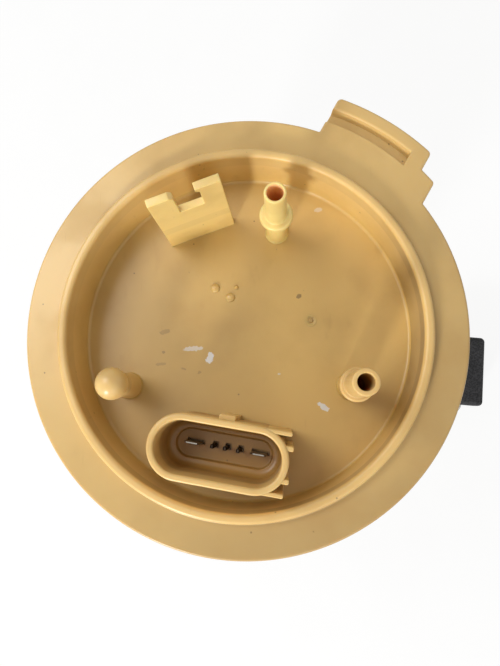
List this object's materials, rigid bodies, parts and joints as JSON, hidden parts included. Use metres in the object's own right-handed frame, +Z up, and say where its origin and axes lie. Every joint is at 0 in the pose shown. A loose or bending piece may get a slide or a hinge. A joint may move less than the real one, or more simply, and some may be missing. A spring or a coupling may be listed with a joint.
{
  "type": "fuel pump module",
  "caption": "In-tank fuel pump module: tan moulded tank flange with line stems and connector, sprung guide rods, swirl pot with electric pump, and a float level sender.",
  "frame": {"origin": "on the flange axis, in the plane of the flange's underside that seats on the tank neck", "axes": "+Z up out of the tank, +X towards the float, +Y completes the frame"},
  "size_m": [0.2306, 0.1779, 0.199],
  "materials": {
    "acetal_tan": "moulded acetal, tan, satin",
    "nbr_rubber": "moulded nitrile rubber",
    "tin_plate": "stamped and tin plated",
    "epoxy": "cast potting resin",
    "pbt_black": "moulded polyester, black",
    "zinc_steel": "drawn steel, zinc plated",
    "spring_steel": "cold-drawn spring wire",
    "nylon_hose": "extruded corrugated nylon",
    "lead_insulation": "fuel-proof wire insulation",
    "acetal_natural": "moulded acetal, natural white",
    "acetal_black": "moulded acetal, black",
    "acetal_bush": "turned acetal",
    "die_cast_aluminium": "die cast and faced",
    "sintered_bronze": "sintered, oil filled",
    "ferrite": "sintered ferrite",
    "carbon": "pressed carbon",
    "pps_black": "moulded, glass filled",
    "nylon_mesh": "woven nylon mesh, welded edge",
    "brass_turned": "turned brass",
    "thick_film_ceramic": "alumina with printed tracks",
    "phenolic_brown": "moulded phenolic",
    "lamination_steel": "stacked electrical steel",
    "copper_wire": "copper",
    "stainless_wire": "drawn stainless wire",
    "nbr_foam": "closed-cell nitrile foam"
  },
  "bodies": {
    "flange_assembly": {"flange": "acetal_tan", "tank_seal": "nbr_rubber", "power_terminals": "tin_plate", "signal_terminals": "tin_plate", "terminal_potting": "epoxy", "inner_plug": "pbt_black", "guide_rods": "zinc_steel", "rod_clips": "spring_steel", "left_spring": "spring_steel", "right_spring": "spring_steel", "supply_hose": "nylon_hose", "return_hose": "nylon_hose", "pump_leads": "lead_insulation", "sender_leads": "lead_insulation"},
    "reservoir_assembly": {"swirl_pot": "acetal_natural", "pot_cover": "acetal_black", "guide_bushes": "acetal_bush", "pump_shell": "zinc_steel", "inlet_cover": "die_cast_aluminium", "chamber_plate": "die_cast_aluminium", "lower_bearing": "sintered_bronze", "upper_bearing": "sintered_bronze", "motor_magnets": "ferrite", "motor_brushes": "carbon", "brush_springs": "spring_steel", "pump_end_cap": "pps_black", "outlet_valve_spring": "spring_steel", "pump_plug": "pbt_black", "pump_isolator": "nbr_rubber", "pump_cradle": "acetal_black", "pump_foot_ring": "nbr_rubber", "strainer_bag": "nylon_mesh", "strainer_collar": "acetal_bush", "jet_pump_body": "acetal_black", "jet_nozzle": "brass_turned", "sender_housing": "acetal_black", "sender_card": "thick_film_ceramic"},
    "pump_rotor": {"motor_shaft": "zinc_steel", "impeller": "phenolic_brown", "armature_core": "lamination_steel", "armature_windings": "copper_wire", "commutator": "copper_wire"},
    "outlet_check": {"outlet_valve": "brass_turned"},
    "fill_check": {"fill_valve": "nbr_rubber"},
    "sender_lever": {"wiper_hub": "acetal_bush", "wiper_contacts": "brass_turned", "float_arm": "stainless_wire"},
    "float_body": {"float": "nbr_foam"}
  },
  "joints": [
    {"name": "reservoir_slide", "type": "slide", "parent": "flange_assembly", "child": "reservoir_assembly", "axis": [0, 0, 1], "range_m": [0, 0.025], "stiffness_N_per_m": 600, "springref_m": -0.04, "deforming": ["left_spring", "right_spring", "supply_hose", "return_hose", "pump_leads", "sender_leads"]},
    {"name": "pump_spin", "type": "hinge", "parent": "reservoir_assembly", "child": "pump_rotor", "pos_m": [0, -0.004, -0.137], "axis": [0, 0, 1], "continuous": true},
    {"name": "outlet_valve_lift", "type": "slide", "parent": "reservoir_assembly", "child": "outlet_check", "axis": [0, 0, 1], "range_m": [0, 0.0015], "stiffness_N_per_m": 120, "springref_m": -0.003, "deforming": ["outlet_valve_spring"]},
    {"name": "fill_valve_lift", "type": "slide", "parent": "reservoir_assembly", "child": "fill_check", "axis": [0, 0, 1], "range_m": [0, 0.0015]},
    {"name": "float_arm_swing", "type": "hinge", "parent": "reservoir_assembly", "child": "sender_lever", "pos_m": [0, 0, -0.115], "axis": [-0.0906, -0.9959, 0], "range_deg": [0, 55]},
    {"name": "float_turn", "type": "hinge", "parent": "sender_lever", "child": "float_body", "pos_m": [0.13091, -0.00689, -0.1525], "axis": [0.0906, 0.9959, 0], "range_deg": [-45, 45]}
  ]
}
